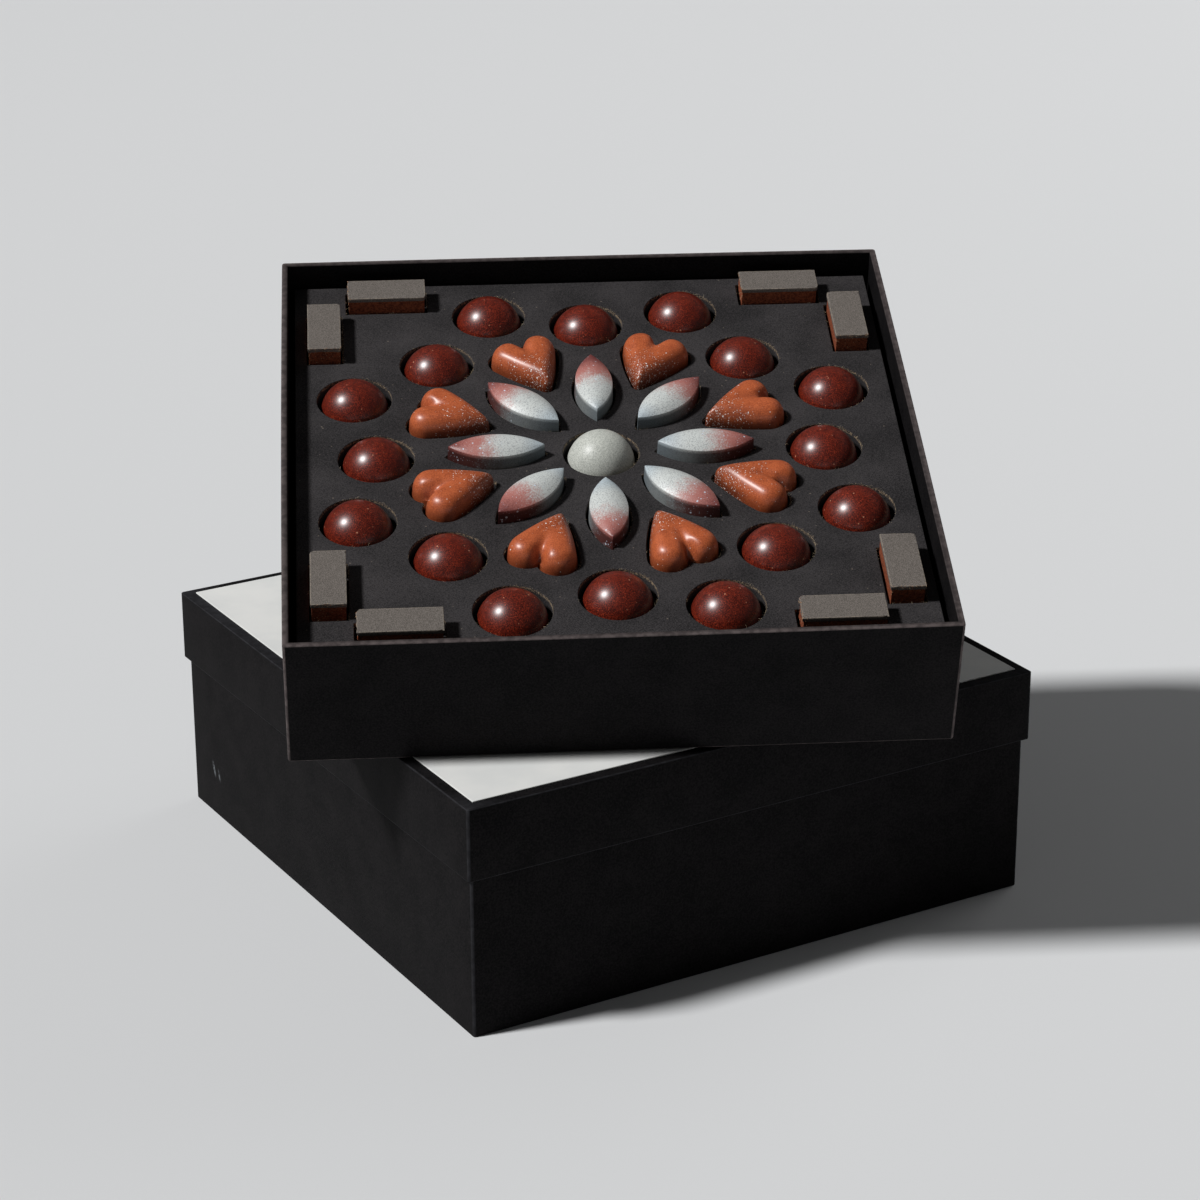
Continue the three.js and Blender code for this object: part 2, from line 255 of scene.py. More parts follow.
domeLook = {
    "night": tint(34, 8, 4), "oxblood": tint(106, 27, 13), "ember": tint(170, 66, 38),
    "grain": 0.36 * mm, "marble": 3.0 * mm, "marbleTwist": 0.8, "marbleShare": 0.12,
    "toOxblood": (0.34, 0.58), "toEmber": (0.52, 0.7),
    "dust": tint(214, 150, 118), "speck": 1.1 * mm, "speckShare": 0.035, "speckStrength": 0.7,
    "rough": 0.3, "roughGrain": 0.12, "gloss": 0.4, "tooth": 0.012 * mm,
    "coat": {"Coat Weight": 0.6, "Coat Roughness": 0.3},
}


def marbledShell(place, look):  # dark shell, sprayed red in fine marbled grains
    grain = cloud(place, look["grain"], 3)
    tone = twoScales(grain, cloud(place, look["marble"], 6, look["marbleTwist"]), look["marbleShare"])
    colour = blend(rise(tone, *look["toOxblood"]), look["night"], look["oxblood"])
    colour = blend(rise(tone, *look["toEmber"]), colour, look["ember"])
    return {"colour": dusted(colour, place, look), "grain": grain}


whiteLook = {
    "ash": tint(162, 165, 158), "ivory": tint(204, 206, 198), "grain": 0.45 * mm, "toIvory": (0.33, 0.62),
    "rough": 0.34, "roughGrain": 0.16, "gloss": 0.45, "tooth": 0.015 * mm,
}


def whiteShell(place, look):
    grain = cloud(place, look["grain"], 5)
    return {"colour": blend(rise(grain, *look["toIvory"]), look["ash"], look["ivory"]), "grain": grain}


petalLook = {
    "ice": tint(178, 190, 196), "frost": tint(206, 210, 207), "toFrost": (-1.0, -0.45),
    "ash": tint(136, 138, 142), "speckle": 0.5 * mm, "toAsh": (0.46, 0.68), "ashStrength": 0.7,
    "rose": tint(174, 112, 104), "plum": tint(112, 59, 57), "plumReach": 0.8, "toPlum": (0.35, 0.95),
    "spray": 0.55 * mm, "sprayReach": 0.9, "drift": 4 * mm, "driftReach": 0.5, "toRosy": (-0.2, 0.42),
    # painted shade for the wall: blue-grey under the white end, dark brown under the rose end
    "toTop": (0.68, 0.78), "wall": tint(66, 73, 78), "wallStrength": 0.7,
    "cocoa": tint(58, 30, 28), "cocoaStrength": 0.85, "fleck": tint(208, 220, 234),
    "drop": 1.4 * mm, "toDrops": (-0.3, 0.3), "dropShare": 0.2, "dropStrength": 0.85,
    "mist": 0.6 * mm, "toMist": (-0.4, 0.2), "mistShare": 0.26, "mistStrength": 0.5,
    "rough": 0.34, "roughGrain": 0.16, "gloss": 0.42, "tooth": 0.014 * mm,
}


def petalShell(place, look):  # white at the inner end, sprayed rose over the outer one, with painted shade down its wall
    along, up = parts(attribute(place, "onPiece", "Vector"))[::2]
    spray = cloud(place, look["spray"], 4)
    drift = cloud(place, look["drift"], 3)
    # painted shade: the wall below the top edge is darkened
    side = 1 - rise(up, *look["toTop"])
    pale = blend(rise(along, *look["toFrost"]), look["ice"], look["frost"])
    speckle = rise(cloud(place, look["speckle"], 3), *look["toAsh"])
    pale = blend(speckle * look["ashStrength"], pale, look["ash"])
    pale = blend(side * look["wallStrength"], pale, look["wall"])
    deep = rise(along + (spray - 0.5) * look["plumReach"], *look["toPlum"])
    red = blend(deep, look["rose"], look["plum"])
    red = blend(side * look["cocoaStrength"], red, look["cocoa"])
    edge = along + (spray - 0.5) * look["sprayReach"] + (drift - 0.5) * look["driftReach"]
    colour = blend(rise(edge, *look["toRosy"]), pale, red)
    drops = flecks(place, look["drop"], rise(along, *look["toDrops"]) * look["dropShare"])
    mist = flecks(place, look["mist"], rise(along, *look["toMist"]) * look["mistShare"])
    colour = blend(drops * look["dropStrength"] + mist * look["mistStrength"], colour, look["fleck"])
    return {"colour": colour, "grain": spray}


heartLook = {
    "toffee": tint(150, 67, 36), "caramel": tint(200, 104, 60), "toCaramel": (0.3, 0.68),
    "grain": 0.5 * mm, "drift": 5 * mm, "driftShare": 0.25, "driftReach": 0.9,
    "dark": tint(78, 34, 20), "fromTip": (-1.0, 0.4), "tipStrength": 0.4,
    # painted shade low on the sides, in the same dark colour as the point
    "fromFoot": (0.4, 0.8), "footStrength": 0.5,
    "fleck": tint(246, 242, 238), "drop": 1.0 * mm, "dropLeast": 0.015, "dropMore": 0.26,
    "mist": 0.55 * mm, "mistLeast": 0.02, "mistMore": 0.75, "mistStrength": 0.9,
    "rough": 0.34, "roughGrain": 0.14, "gloss": 0.5, "tooth": 0.012 * mm,
    "coat": {"Coat Weight": 0.3, "Coat Roughness": 0.32},
}


def heartShell(place, look):  # caramel, darker and flecked with white towards the point, with painted shade towards the foot
    along, up = parts(attribute(place, "onPiece", "Vector"))[::2]
    grain = cloud(place, look["grain"], 4)
    drift = cloud(place, look["drift"], 3)
    tone = twoScales(grain, drift, look["driftShare"])
    colour = blend(rise(tone, *look["toCaramel"]), look["toffee"], look["caramel"])
    near = 1 - rise(along + (drift - 0.5) * look["driftReach"], *look["fromTip"])
    # painted shade: darker towards the foot
    foot = 1 - rise(up, *look["fromFoot"])
    colour = blend(near * look["tipStrength"] + foot * look["footStrength"], colour, look["dark"])
    drops = flecks(place, look["drop"], look["dropLeast"] + near * look["dropMore"])
    mist = flecks(place, look["mist"], look["mistLeast"] + near * look["mistMore"])
    colour = blend(drops + mist * look["mistStrength"], colour, look["fleck"])
    return {"colour": colour, "grain": grain}


barLook = {
    "slate": tint(80, 74, 69), "stone": tint(122, 115, 109), "grain": 0.34 * mm, "toStone": (0.36, 0.64),
    # the sheet's pale edge colour: partly crumbs, partly painted highlight
    "edge": tint(150, 138, 124), "toEdge": (0.38, 0.6), "edgeStrength": 0.7,
    "umber": tint(90, 42, 26), "cocoa": tint(150, 80, 50), "toCocoa": (0.36, 0.62),
    "crumb": 0.9 * mm, "crumbTwist": 0.6, "grainShare": 0.3, "sheetPolish": 0.06, "sheetTooth": 0.4,
    "rough": 0.68, "roughGrain": 0.18, "gloss": 0.3, "tooth": 0.1 * mm,
}


def sawnBar(place, look):  # matt grey sheet on a sawn brown block; the sheet's edge is paler, partly crumbly and partly painted highlight
    grain = cloud(place, look["grain"], 4)
    crumb = cloud(place, look["crumb"], 5, look["crumbTwist"])
    sheet = blend(rise(grain, *look["toStone"]), look["slate"], look["stone"])
    # paler along the sheet's rim: partly crumbly edge, partly painted highlight
    lipCrumbAndHighlight = attribute(place, "edge") * rise(crumb, *look["toEdge"])
    sheet = blend(lipCrumbAndHighlight * look["edgeStrength"], sheet, look["edge"])
    sawn = twoScales(crumb, grain, look["grainShare"])
    block = blend(rise(sawn, *look["toCocoa"]), look["umber"], look["cocoa"])
    onSheet = attribute(place, "sheet")
    return {
        "colour": blend(onSheet, block, sheet), "grain": grain, "polish": onSheet * look["sheetPolish"],
        "relief": grain * onSheet * look["sheetTooth"] + crumb * (1 - onSheet),
    }


looseLook = {"toLight": (0.35, 0.65), "rough": 0.75, "roughGrain": 0.2, "gloss": 0.2}


def looseBits(place, look, spec):  # a two-tone grain for lint and crumbs
    grain = cloud(place, spec["grain"], 3)
    return {"colour": blend(rise(grain, *look["toLight"]), spec["dark"], spec["light"]), "grain": grain}


# Meshes

def meshPiece(name, mesh):
    piece = bpy.data.objects.new(name, mesh)
    scene.collection.objects.link(piece)
    return piece


def chain(lists):
    return [item for each in lists for item in each]


def loft(name, rings, marks, axes):
    # skin through rings of (x, y, z), lowest first and counter-clockwise from above, closed at both ends;
    # a last ring of one point is a tip
    points = chain(rings)
    starts = [0]
    for ring in rings:
        starts.append(starts[-1] + len(ring))
    faces = []
    for low, (ring, after) in enumerate(zip(rings, rings[1:])):
        count = len(ring)
        for i in range(count):
            follow = (i + 1) % count
            lower = (starts[low] + i, starts[low] + follow)
            if len(after) == 1:
                faces.append((*lower, starts[low + 1]))
            else:
                faces.append((*lower, starts[low + 1] + follow, starts[low + 1] + i))
    faces.append(tuple(reversed(range(starts[0], starts[1]))))
    if len(rings[-1]) > 1:
        faces.append(tuple(range(starts[-2], starts[-1])))
    mesh = bpy.data.meshes.new(name)
    mesh.from_pydata(points, [], faces)
    for mark, values in marks.items():
        vector = hasattr(values[0], "__len__")
        made = mesh.attributes.new(mark, "FLOAT_VECTOR" if vector else "FLOAT", "POINT")
        made.data.foreach_set("vector" if vector else "value", chain(values) if vector else values)
    mesh.transform(axes)
    mesh.validate()
    return mesh


def smoothBelow(mesh, degrees):  # smooth shading, with creases kept where faces turn by more than this
    mesh.shade_smooth()
    mesh.set_sharp_from_angle(angle=radians(degrees))
    return mesh


def finishPiece(piece, body, nodes, material):
    piece.data.materials.clear()
    piece.data.materials.append(material)
    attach(piece, body)
    if nodes:
        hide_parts(*nodes)


# Board pieces: every edge of a wrapped board is a small round fold

boardSpec = {
    "wrapped_base": 2.0 * mm, "wrapped_lid": 1.5 * mm, "wrapped_tray": 2.5 * mm, "folded_platform": 2.0 * mm,
    "trayBow": 0.4 * mm, "corner": 1.2 * mm, "fold": 0.55 * mm, "inside": 0.2 * mm, "innerWearAndSheen": 0.5,
    "foldSteps": 4, "cornerSteps": 5, "sideSteps": 14, "crease": 50, "cardCrease": 30,
    "weld": 0.01 * mm, "flat": radians(2),
}


def squareRing(half, radius, z, bow=0.0):  # a square with round corners, and which of its points are on them
    steps, along = boardSpec["cornerSteps"], boardSpec["sideSteps"]
    ring, onCorner = [], []
    corners = [Vector(corner) * (half - radius) for corner in ((1, 1), (-1, 1), (-1, -1), (1, -1))]
    for quarter, middle in enumerate(corners):
        for i in range(steps + 1):
            angle = (quarter + i / steps) * pi / 2
            ring.append((middle.x + radius * cos(angle), middle.y + radius * sin(angle), z))
            onCorner.append(1.0 if 0 < i < steps else 0.0)
        start = Vector(ring[-1][:2])
        turn = (quarter + 1) * pi / 2
        end = corners[(quarter + 1) % 4] + radius * Vector((cos(turn), sin(turn)))
        for i in range(1, along):
            point = start.lerp(end, i / along)
            ring.append((point.x, point.y, z))
            onCorner.append(0.0)

    def bowed(place, other):  # a side stands out most in its middle
        return place * (1 + bow / half * max(0, 1 - (other / half) ** 2))

    return [(bowed(x, y), bowed(y, x), z) for x, y, z in ring], onCorner


def boardBox(name, side, height, board, axes, upsideDown=False, bow=0.0):  # an open box of wrapped board
    fold, steps = boardSpec["fold"], boardSpec["foldSteps"]

    def quarterFold(inset, z, start):  # points of a fold's arc, with its middle at this inset and height
        points = []
        for i in range(steps + 1):
            angle = start - i / steps * pi / 2
            points.append((inset + fold * cos(angle), z + fold * sin(angle), 0 < i < steps))
        return points

    profile = quarterFold(fold, fold, 1.5 * pi)
    profile += quarterFold(fold, height - fold, pi)
    profile += quarterFold(board - fold, height - fold, pi / 2)
    profile += [(board, board, False)]
    rings, wearAndSheen = [], []
    for inset, z, folded in profile:
        radius = max(boardSpec["corner"] - inset, boardSpec["inside"])
        level = height - z if upsideDown else z
        ring, onCorner = squareRing(side / 2 - inset, radius, level, bow * z / height)
        rings.append(ring)
        outside = inset <= fold
        # the folds and the rim's flat top are marked for paler paper, partly wear and partly painted sheen
        onFold = float(folded or z == height)  # the rim's flat lies between two folds
        wornAndSheen = onFold * (1.0 if inset < board / 2 else boardSpec["innerWearAndSheen"])
        wearAndSheen += [max(wornAndSheen, corner * outside) for corner in onCorner]
    mesh = loft(name, rings, {"wearAndSheen": wearAndSheen}, axes)
    if upsideDown:
        mesh.flip_normals()
    return meshPiece(name, smoothBelow(mesh, boardSpec["crease"]))


def boardSlab(name, side, thickness, axes):  # a thin card with softened edges
    soft = thickness / 4
    levels = ((soft, 0), (0, soft), (0, thickness - soft), (soft, thickness))
    rings = [squareRing(side / 2 - inset, soft, z)[0] for inset, z in levels]
    return meshPiece(name, smoothBelow(loft(name, rings, {}, axes), boardSpec["cardCrease"]))


def boardBlock(name, node):  # a copy of a plain block with its edges folded round
    shape = bmesh.new()
    shape.from_mesh(frame["nodes"][node].data)
    bmesh.ops.remove_doubles(shape, verts=shape.verts, dist=boardSpec["weld"])
    bmesh.ops.dissolve_limit(shape, angle_limit=boardSpec["flat"], verts=shape.verts, edges=shape.edges)
    # the folds are marked for paler paper, partly wear and partly painted sheen
    wearAndSheen = shape.verts.layers.float.new("wearAndSheen")
    made = bmesh.ops.bevel(
        shape, geom=shape.edges[:], offset=boardSpec["fold"], segments=boardSpec["foldSteps"], profile=0.5,
        affect="EDGES", clamp_overlap=True)
    folds = set(made["faces"])
    for vertex in shape.verts:
        vertex[wearAndSheen] = float(all(face in folds for face in vertex.link_faces))
    mesh = bpy.data.meshes.new(name)
    shape.to_mesh(mesh)
    shape.free()
    return meshPiece(name, smoothBelow(mesh, boardSpec["crease"]))


scuffLean = (radians(-18), 0, 0)
scuffSpec = [  # slanted streaks low on the base's left side
    {"place": (-127.5 * mm, 108 * mm, 21.5 * mm), "lean": scuffLean, "share": 1.0,
     "size": (2 * mm, 1.5 * mm, 5.5 * mm)},
    {"place": (-127.5 * mm, 103 * mm, 20 * mm), "lean": scuffLean, "share": 0.6,
     "size": (2 * mm, 1.3 * mm, 4.4 * mm)},
]
boxRubAndSheen, trayRubAndSheen = tint(48, 48, 51), tint(100, 91, 90)  # the tray's folds and rim top are paler than the closed box's: partly more rubbing, partly painted sheen
boxWrap = newFinish("boxWrapPaper", paperLook, wrappedPaper, boxRubAndSheen)
baseWrap = newFinish("baseWrapPaper", paperLook, wrappedPaper, boxRubAndSheen, scuffSpec)
trayWrap = newFinish("trayWrapPaper", paperLook, wrappedPaper, trayRubAndSheen)
card = newFinish("smoothWhiteCard", cardLook, whiteCard)
charcoal = newFinish("feltedCharcoalBoard", insertLook, charcoalBoard)
upright = Matrix.Identity(4)


def placeBox(name, axes, body, nodes, slot, material, **shape):  # its board's thickness is in boardSpec
    seat, size = standOn(axes, nodes)
    piece = boardBox(name, size.x, size.z, boardSpec[name], seat, **shape)
    finishPiece(piece, body, nodes, material)


placeBox("wrapped_base", upright, "base", ["box_base"], "black_paper", baseWrap)
placeBox("wrapped_lid", upright, "lid", ["box_lid"], "black_paper", boxWrap, upsideDown=True)
panelAxes, panelSize = standOn(upright, ["lid_panel"])
lidPanel = boardSlab("white_lid_panel", panelSize.x, panelSize.z, panelAxes)
finishPiece(lidPanel, "lid", ["lid_panel"], card)
placeBox("wrapped_tray", trayTurn, "tray", trayBoards, "black_paper", trayWrap, bow=boardSpec["trayBow"])
finishPiece(boardBlock("wrapped_prop", "tray_prop"), "prop", ["tray_prop"], boxWrap)
placeBox(
    "folded_platform", trayAxes, "insert", ["insert_platform"], "charcoal_board", charcoal, upsideDown=True)
print("board pieces made")


# Chocolate outlines, counter-clockwise, with the spoke running along x

mouldDraft = 0.5 * mm  # how far a moulded piece's side leans in from its foot to its edge


def circleOutline(radius, count):
    return [(radius * cos(2 * pi * i / count), radius * sin(2 * pi * i / count)) for i in range(count)]


def lensOutline(length, width, steps):  # two equal arcs that meet in points on the x axis
    radius = (length ** 2 + width ** 2) / (4 * width)
    reach = asin(length / (2 * radius))
    upper = []
    for i in range(steps):
        angle = reach * (1 - 2 * i / steps)
        upper.append((radius * sin(angle), radius * cos(angle) - radius + width / 2))
    return upper + [(-x, -y) for x, y in upper]


heartSpec = {
    "lobe": 7.4 * mm, "tip": 2.0 * mm, "bulge": 0.8 * mm, "wall": 7.2 * mm,
    "groove": 4.0 * mm, "grooveWidth": 2.3 * mm, "grooveLength": 15 * mm, "ridge": 0.76,
    "points": 128, "rings": 26, "tighten": 1.5, "fine": 720, "halvings": 24, "crease": 60,
}


def outOfHeart(x, y, length, width, grow):  # whether a point has left both of the drops that make a heart
    lobe, tip = heartSpec["lobe"] + grow, heartSpec["tip"] + grow
    for side in (1, -1):
        start = Vector((length / 2 + grow - lobe, side * (width / 2 + grow - lobe)))
        run = Vector((-length / 2 - grow + tip, 0)) - start
        point = Vector((x, y)) - start
        share = min(1, max(0, point.dot(run) / run.length_squared))
        radius = lobe + (tip - lobe) * share + heartSpec["bulge"] * 4 * share * (1 - share)
        if (point - run * share).length < radius:
            return False
    return True


def heartOutline(length, width, count, grow=0.0):  # walks out from the middle to the rim
    outline = []
    for i in range(count):
        angle = 2 * pi * i / count
        near, far = 0.0, length
        for halving in range(heartSpec["halvings"]):
            reach = (near + far) / 2
            if outOfHeart(reach * cos(angle), reach * sin(angle), length, width, grow):
                far = reach
            else:
                near = reach
        outline.append((near * cos(angle), near * sin(angle)))
    return outline


def softDepth(x, y, rim):  # distance from a rim, blended over all of it so that ridges come out round
    pull = 0.0
    for (startX, startY), (endX, endY) in zip(rim, rim[1:] + rim[:1]):
        squared = (x - (startX + endX) / 2) ** 2 + (y - (startY + endY) / 2) ** 2
        pull += hypot(endX - startX, endY - startY) / squared ** 2
    return (pi / 2 / pull) ** (1 / 3)


def barOutline(length, width, step):  # a rectangle with evenly spaced points along its sides
    x, y = length / 2, width / 2
    corners = [(x, -y), (x, y), (-x, y), (-x, -y)]
    outline = []
    for start, end in zip(corners, corners[1:] + corners[:1]):
        count = max(2, round(hypot(end[0] - start[0], end[1] - start[1]) / step))
        for i in range(count):
            outline.append(tuple(a + (b - a) * i / count for a, b in zip(start, end)))
    return outline


# Insert: the pockets' rims are a pattern, and the plate is cut by it

pocketSpec = {
    "round": 1.5 * mm, "petal": 1.4 * mm, "heart": 1.4 * mm, "bar": 0.7 * mm,
    "roundPoints": 72, "petalSteps": 40, "heartPoints": 96, "barStep": 3 * mm,
    "weld": 0.001 * mm, "flat": radians(1), "soften": 0.35 * mm, "softenSteps": 2, "softenAbove": radians(40),
    "level": 0.99,
}


def newTree(name, inputs):
    tree = bpy.data.node_groups.new(name, "GeometryNodeTree")
    tree.interface.new_socket("Geometry", in_out="OUTPUT", socket_type="NodeSocketGeometry")
    for label, kind in {"Geometry": "Geometry", **inputs}.items():
        tree.interface.new_socket(label, in_out="INPUT", socket_type="NodeSocket" + kind)
    source = tree.nodes.new("NodeGroupInput")
    return tree, {socket.name: Wire(tree, socket) for socket in source.outputs if socket.name}


def endTree(tree, geometry, material):
    whole = geometry.node("GeometryNodeRealizeInstances", {"Geometry": geometry})
    dressed = whole.node("GeometryNodeSetMaterial", {"Geometry": whole, "Material": material})
    sink = tree.nodes.new("NodeGroupOutput")
    tree.links.new(dressed.socket, sink.inputs[0])


def joined(*geometries):
    join = geometries[0].node("GeometryNodeJoinGeometry")
    for geometry in geometries:
        join.tree.links.new(geometry.socket, join.socket.node.inputs[0])
    return join


def meshOf(wire):  # the mesh of an object that a tree is given
    return wire.node("GeometryNodeObjectInfo", {"Object": wire}, out="Geometry")


def grow(name, mesh, tree, values):  # runs a tree on a mesh and keeps the result as a plain mesh
    holder = meshPiece(name, mesh)
    modifier = holder.modifiers.new(name, "NODES")
    modifier.node_group = tree
    for socket in tree.interface.items_tree:
        if socket.in_out == "INPUT" and socket.name in values:
            modifier[socket.identifier] = values[socket.name]
    shaped = holder.evaluated_get(bpy.context.evaluated_depsgraph_get())
    result = bpy.data.meshes.new_from_object(shaped)
    bpy.data.objects.remove(holder)
    return result


def loopObject(name, outline):  # a closed line through an outline's points
    mesh = bpy.data.meshes.new(name)
    count = len(outline)
    mesh.from_pydata([(x, y, 0) for x, y in outline], [(i, (i + 1) % count) for i in range(count)], [])
    return meshPiece(name, mesh)


def patternTree():  # a rim for every pocket: rings on the spokes and between them, and pairs at the corners
    rings = {"Petal Ring": ("Petal Pocket", 0), "Heart Ring": ("Heart Pocket", spokeAngle / 2),
             "Inner Ring": ("Round Pocket", 0), "Outer Ring": ("Round Pocket", spokeAngle / 2)}
    pockets = ["Round Pocket", "Petal Pocket", "Heart Pocket", "Bar Pocket"]
    sizes = [*rings, "Bars Along", "Bars Across"]
    inputs = {size: "Float" for size in sizes}
    inputs.update({pocket: "Object" for pocket in pockets})
    tree, wires = newTree("pocketPattern", {**inputs, "Material": "Material"})
    start = wires["Geometry"]
    rim = {pocket: meshOf(wires[pocket]) for pocket in pockets}
    x, y = parts(start.node("GeometryNodeInputPosition"))[:2]
    outwards = start.node("ShaderNodeCombineXYZ", {"Z": y.math("ARCTAN2", y, x)})
    found = [rim["Round Pocket"]]
    for size, (pocket, turn) in rings.items():
        circle = start.node("GeometryNodeMeshCircle", {"Vertices": spokes, "Radius": wires[size]})
        turned = start.node("GeometryNodeTransform", {"Geometry": circle, "Rotation": (0, 0, turn)})
        copies = {"Points": turned, "Instance": rim[pocket], "Rotation": outwards}
        found.append(start.node("GeometryNodeInstanceOnPoints", copies))
    along, across = wires["Bars Along"] * 2, wires["Bars Across"] * 2
    for sizeX, sizeY, turn in ((along, across, 0), (across, along, pi / 2)):
        values = {"Size X": sizeX, "Size Y": sizeY, "Vertices X": 2, "Vertices Y": 2}
        corners = start.node("GeometryNodeMeshGrid", values)
        copies = {"Points": corners, "Instance": rim["Bar Pocket"], "Rotation": (0, 0, turn)}
        found.append(start.node("GeometryNodeInstanceOnPoints", copies))
    endTree(tree, joined(*found), wires["Material"])
    return tree


def plateTree():  # fills the square round the rims and gives it its thickness downwards
    tree, wires = newTree("dieCutPlate", {"Side": "Float", "Thickness": "Float", "Material": "Material"})
    start, side, thickness = wires["Geometry"], wires["Side"], wires["Thickness"]
    lines = start.node("GeometryNodeMeshToCurve", {"Mesh": start})
    square = start.node("GeometryNodeCurvePrimitiveQuadrilateral", {"Width": side, "Height": side})
    face = start.node("GeometryNodeFillCurve", {"Curve": joined(lines, square)})
    low = start.node("ShaderNodeCombineXYZ", {"Z": thickness * -1})
    under = start.node("GeometryNodeTransform", {"Geometry": face, "Translation": low})
    upwards = start.node("ShaderNodeCombineXYZ", {"Z": 1.0})
    pull = {"Mesh": under, "Offset": upwards, "Offset Scale": thickness, "Individual": False}
    raised = start.node("GeometryNodeExtrudeMesh", pull)
    bottom = start.node("GeometryNodeFlipFaces", {"Mesh": under})
    loose = {"Geometry": joined(raised, bottom), "Distance": pocketSpec["weld"]}
    endTree(tree, start.node("GeometryNodeMergeByDistance", loose), wires["Material"])
    return tree


def joinFlat(mesh):  # joins triangles that lie in one plane, so that only true edges are softened
    shape = bmesh.new()
    shape.from_mesh(mesh)
    bmesh.ops.dissolve_limit(shape, angle_limit=pocketSpec["flat"], verts=[], edges=shape.edges)
    shape.to_mesh(mesh)
    shape.free()


def ringOf(node, turn):  # how far from the tray's middle a node lies along its spoke, and its size
    low, high = boxAlong(trayAxes @ Matrix.Rotation(turn, 4, "Z"), [node])
    return (low.x + high.x) / 2, high - low


petalRing, petalSize = ringOf("petal_1", 0)
heartRing, heartSize = ringOf("heart_1", spokeAngle / 2)
innerRing, domeSize = ringOf("marbled_dome_1", 0)
outerRing = ringOf("marbled_dome_2", spokeAngle / 2)[0]
barLow, barHigh = boxAlong(trayAxes, ["bar_1"])
barMiddle, barSize = (barLow + barHigh) / 2, barHigh - barLow

petalGap = 2 * (pocketSpec["petal"] - mouldDraft)
barGap = 2 * pocketSpec["bar"]
heartEdge = heartSize - Vector((2, 2, 0)) * mouldDraft
pocketLoops = {
    "Round Pocket": circleOutline(domeSize.x / 2 + pocketSpec["round"], pocketSpec["roundPoints"]),
    "Petal Pocket": lensOutline(petalSize.x + petalGap, petalSize.y + petalGap, pocketSpec["petalSteps"]),
    "Heart Pocket": heartOutline(heartEdge.x, heartEdge.y, pocketSpec["heartPoints"], pocketSpec["heart"]),
    "Bar Pocket": barOutline(barSize.x + barGap, barSize.y + barGap, pocketSpec["barStep"]),
}
loops = {name: loopObject(name.replace(" ", "_"), outline) for name, outline in pocketLoops.items()}
rims = grow("pocket_rims", bpy.data.meshes.new("start"), patternTree(), {
    "Petal Ring": petalRing, "Heart Ring": heartRing, "Inner Ring": innerRing, "Outer Ring": outerRing,
    "Bars Along": barMiddle.x, "Bars Across": barMiddle.y, "Material": charcoal, **loops,
})
for loop in loops.values():
    bpy.data.objects.remove(loop)

insertSize = insertHigh - insertLow
topAxes = trayAxes @ Matrix.Translation((0, 0, insertHigh.z))
plate = grow("plate", rims.copy(), plateTree(), {
    "Side": insertSize.x, "Thickness": insertSize.z, "Material": charcoal,
})
joinFlat(plate)
plate.transform(topAxes)
insert = meshPiece("die_cut_board", plate)
plate.shade_smooth()
softened = insert.modifiers.new("softened", "BEVEL")
softened.width = pocketSpec["soften"]
softened.segments = pocketSpec["softenSteps"]
softened.limit_method = "ANGLE"
softened.angle_limit = pocketSpec["softenAbove"]
insert.data = bpy.data.meshes.new_from_object(insert.evaluated_get(bpy.context.evaluated_depsgraph_get()))
insert.modifiers.clear()
for face in insert.data.polygons:
    face.use_smooth = abs(face.normal.dot(upOfTray)) < pocketSpec["level"]  # top and underside stay flat
finishPiece(insert, "insert", ["die_cut_insert"], charcoal)
print("insert cut,", len(insert.data.polygons), "faces")


# Lint along the cut rims

lintSpec = {
    "spacing": 0.3 * mm, "share": 0.75, "seed": 5, "lean": 1.5, "sizes": (0.25, 1.0),
    "length": 1.5 * mm, "thick": 0.12 * mm, "curl": 0.4 * mm, "steps": 3, "root": 0.3, "taper": 0.6,
    "frayLeast": 0.12, "frayWay": (-0.6, 0.8), "toFrayed": (-0.1, 0.7),
    "clump": 9 * mm, "toClump": (0.35, 0.65),
    "dark": tint(146, 128, 104), "light": tint(190, 174, 148), "grain": 2 * mm,
}


def fibreObject():  # one bent fibre with a three-cornered section
    spec = lintSpec
    rings = []
    for step in range(spec["steps"] + 1):
        share = step / spec["steps"]
        aside, up = spec["curl"] * sin(pi * share), (share - spec["root"]) * spec["length"]
        radius = spec["thick"] * (1 - spec["taper"] * share) / 2
        rings.append([(aside + x, y, up) for x, y in circleOutline(radius, 3)])
    return meshPiece("fibre", loft("fibre", rings, {}, Matrix.Identity(4)))


def scatterValue(wire, kind, low, high, seed):  # a random number or vector for each copy
    first = {"FLOAT": 2, "FLOAT_VECTOR": 0}[kind]
    values = {first: low, first + 1: high, 8: seed}
    return wire.node("FunctionNodeRandomValue", values, out=first // 2, data_type=kind)


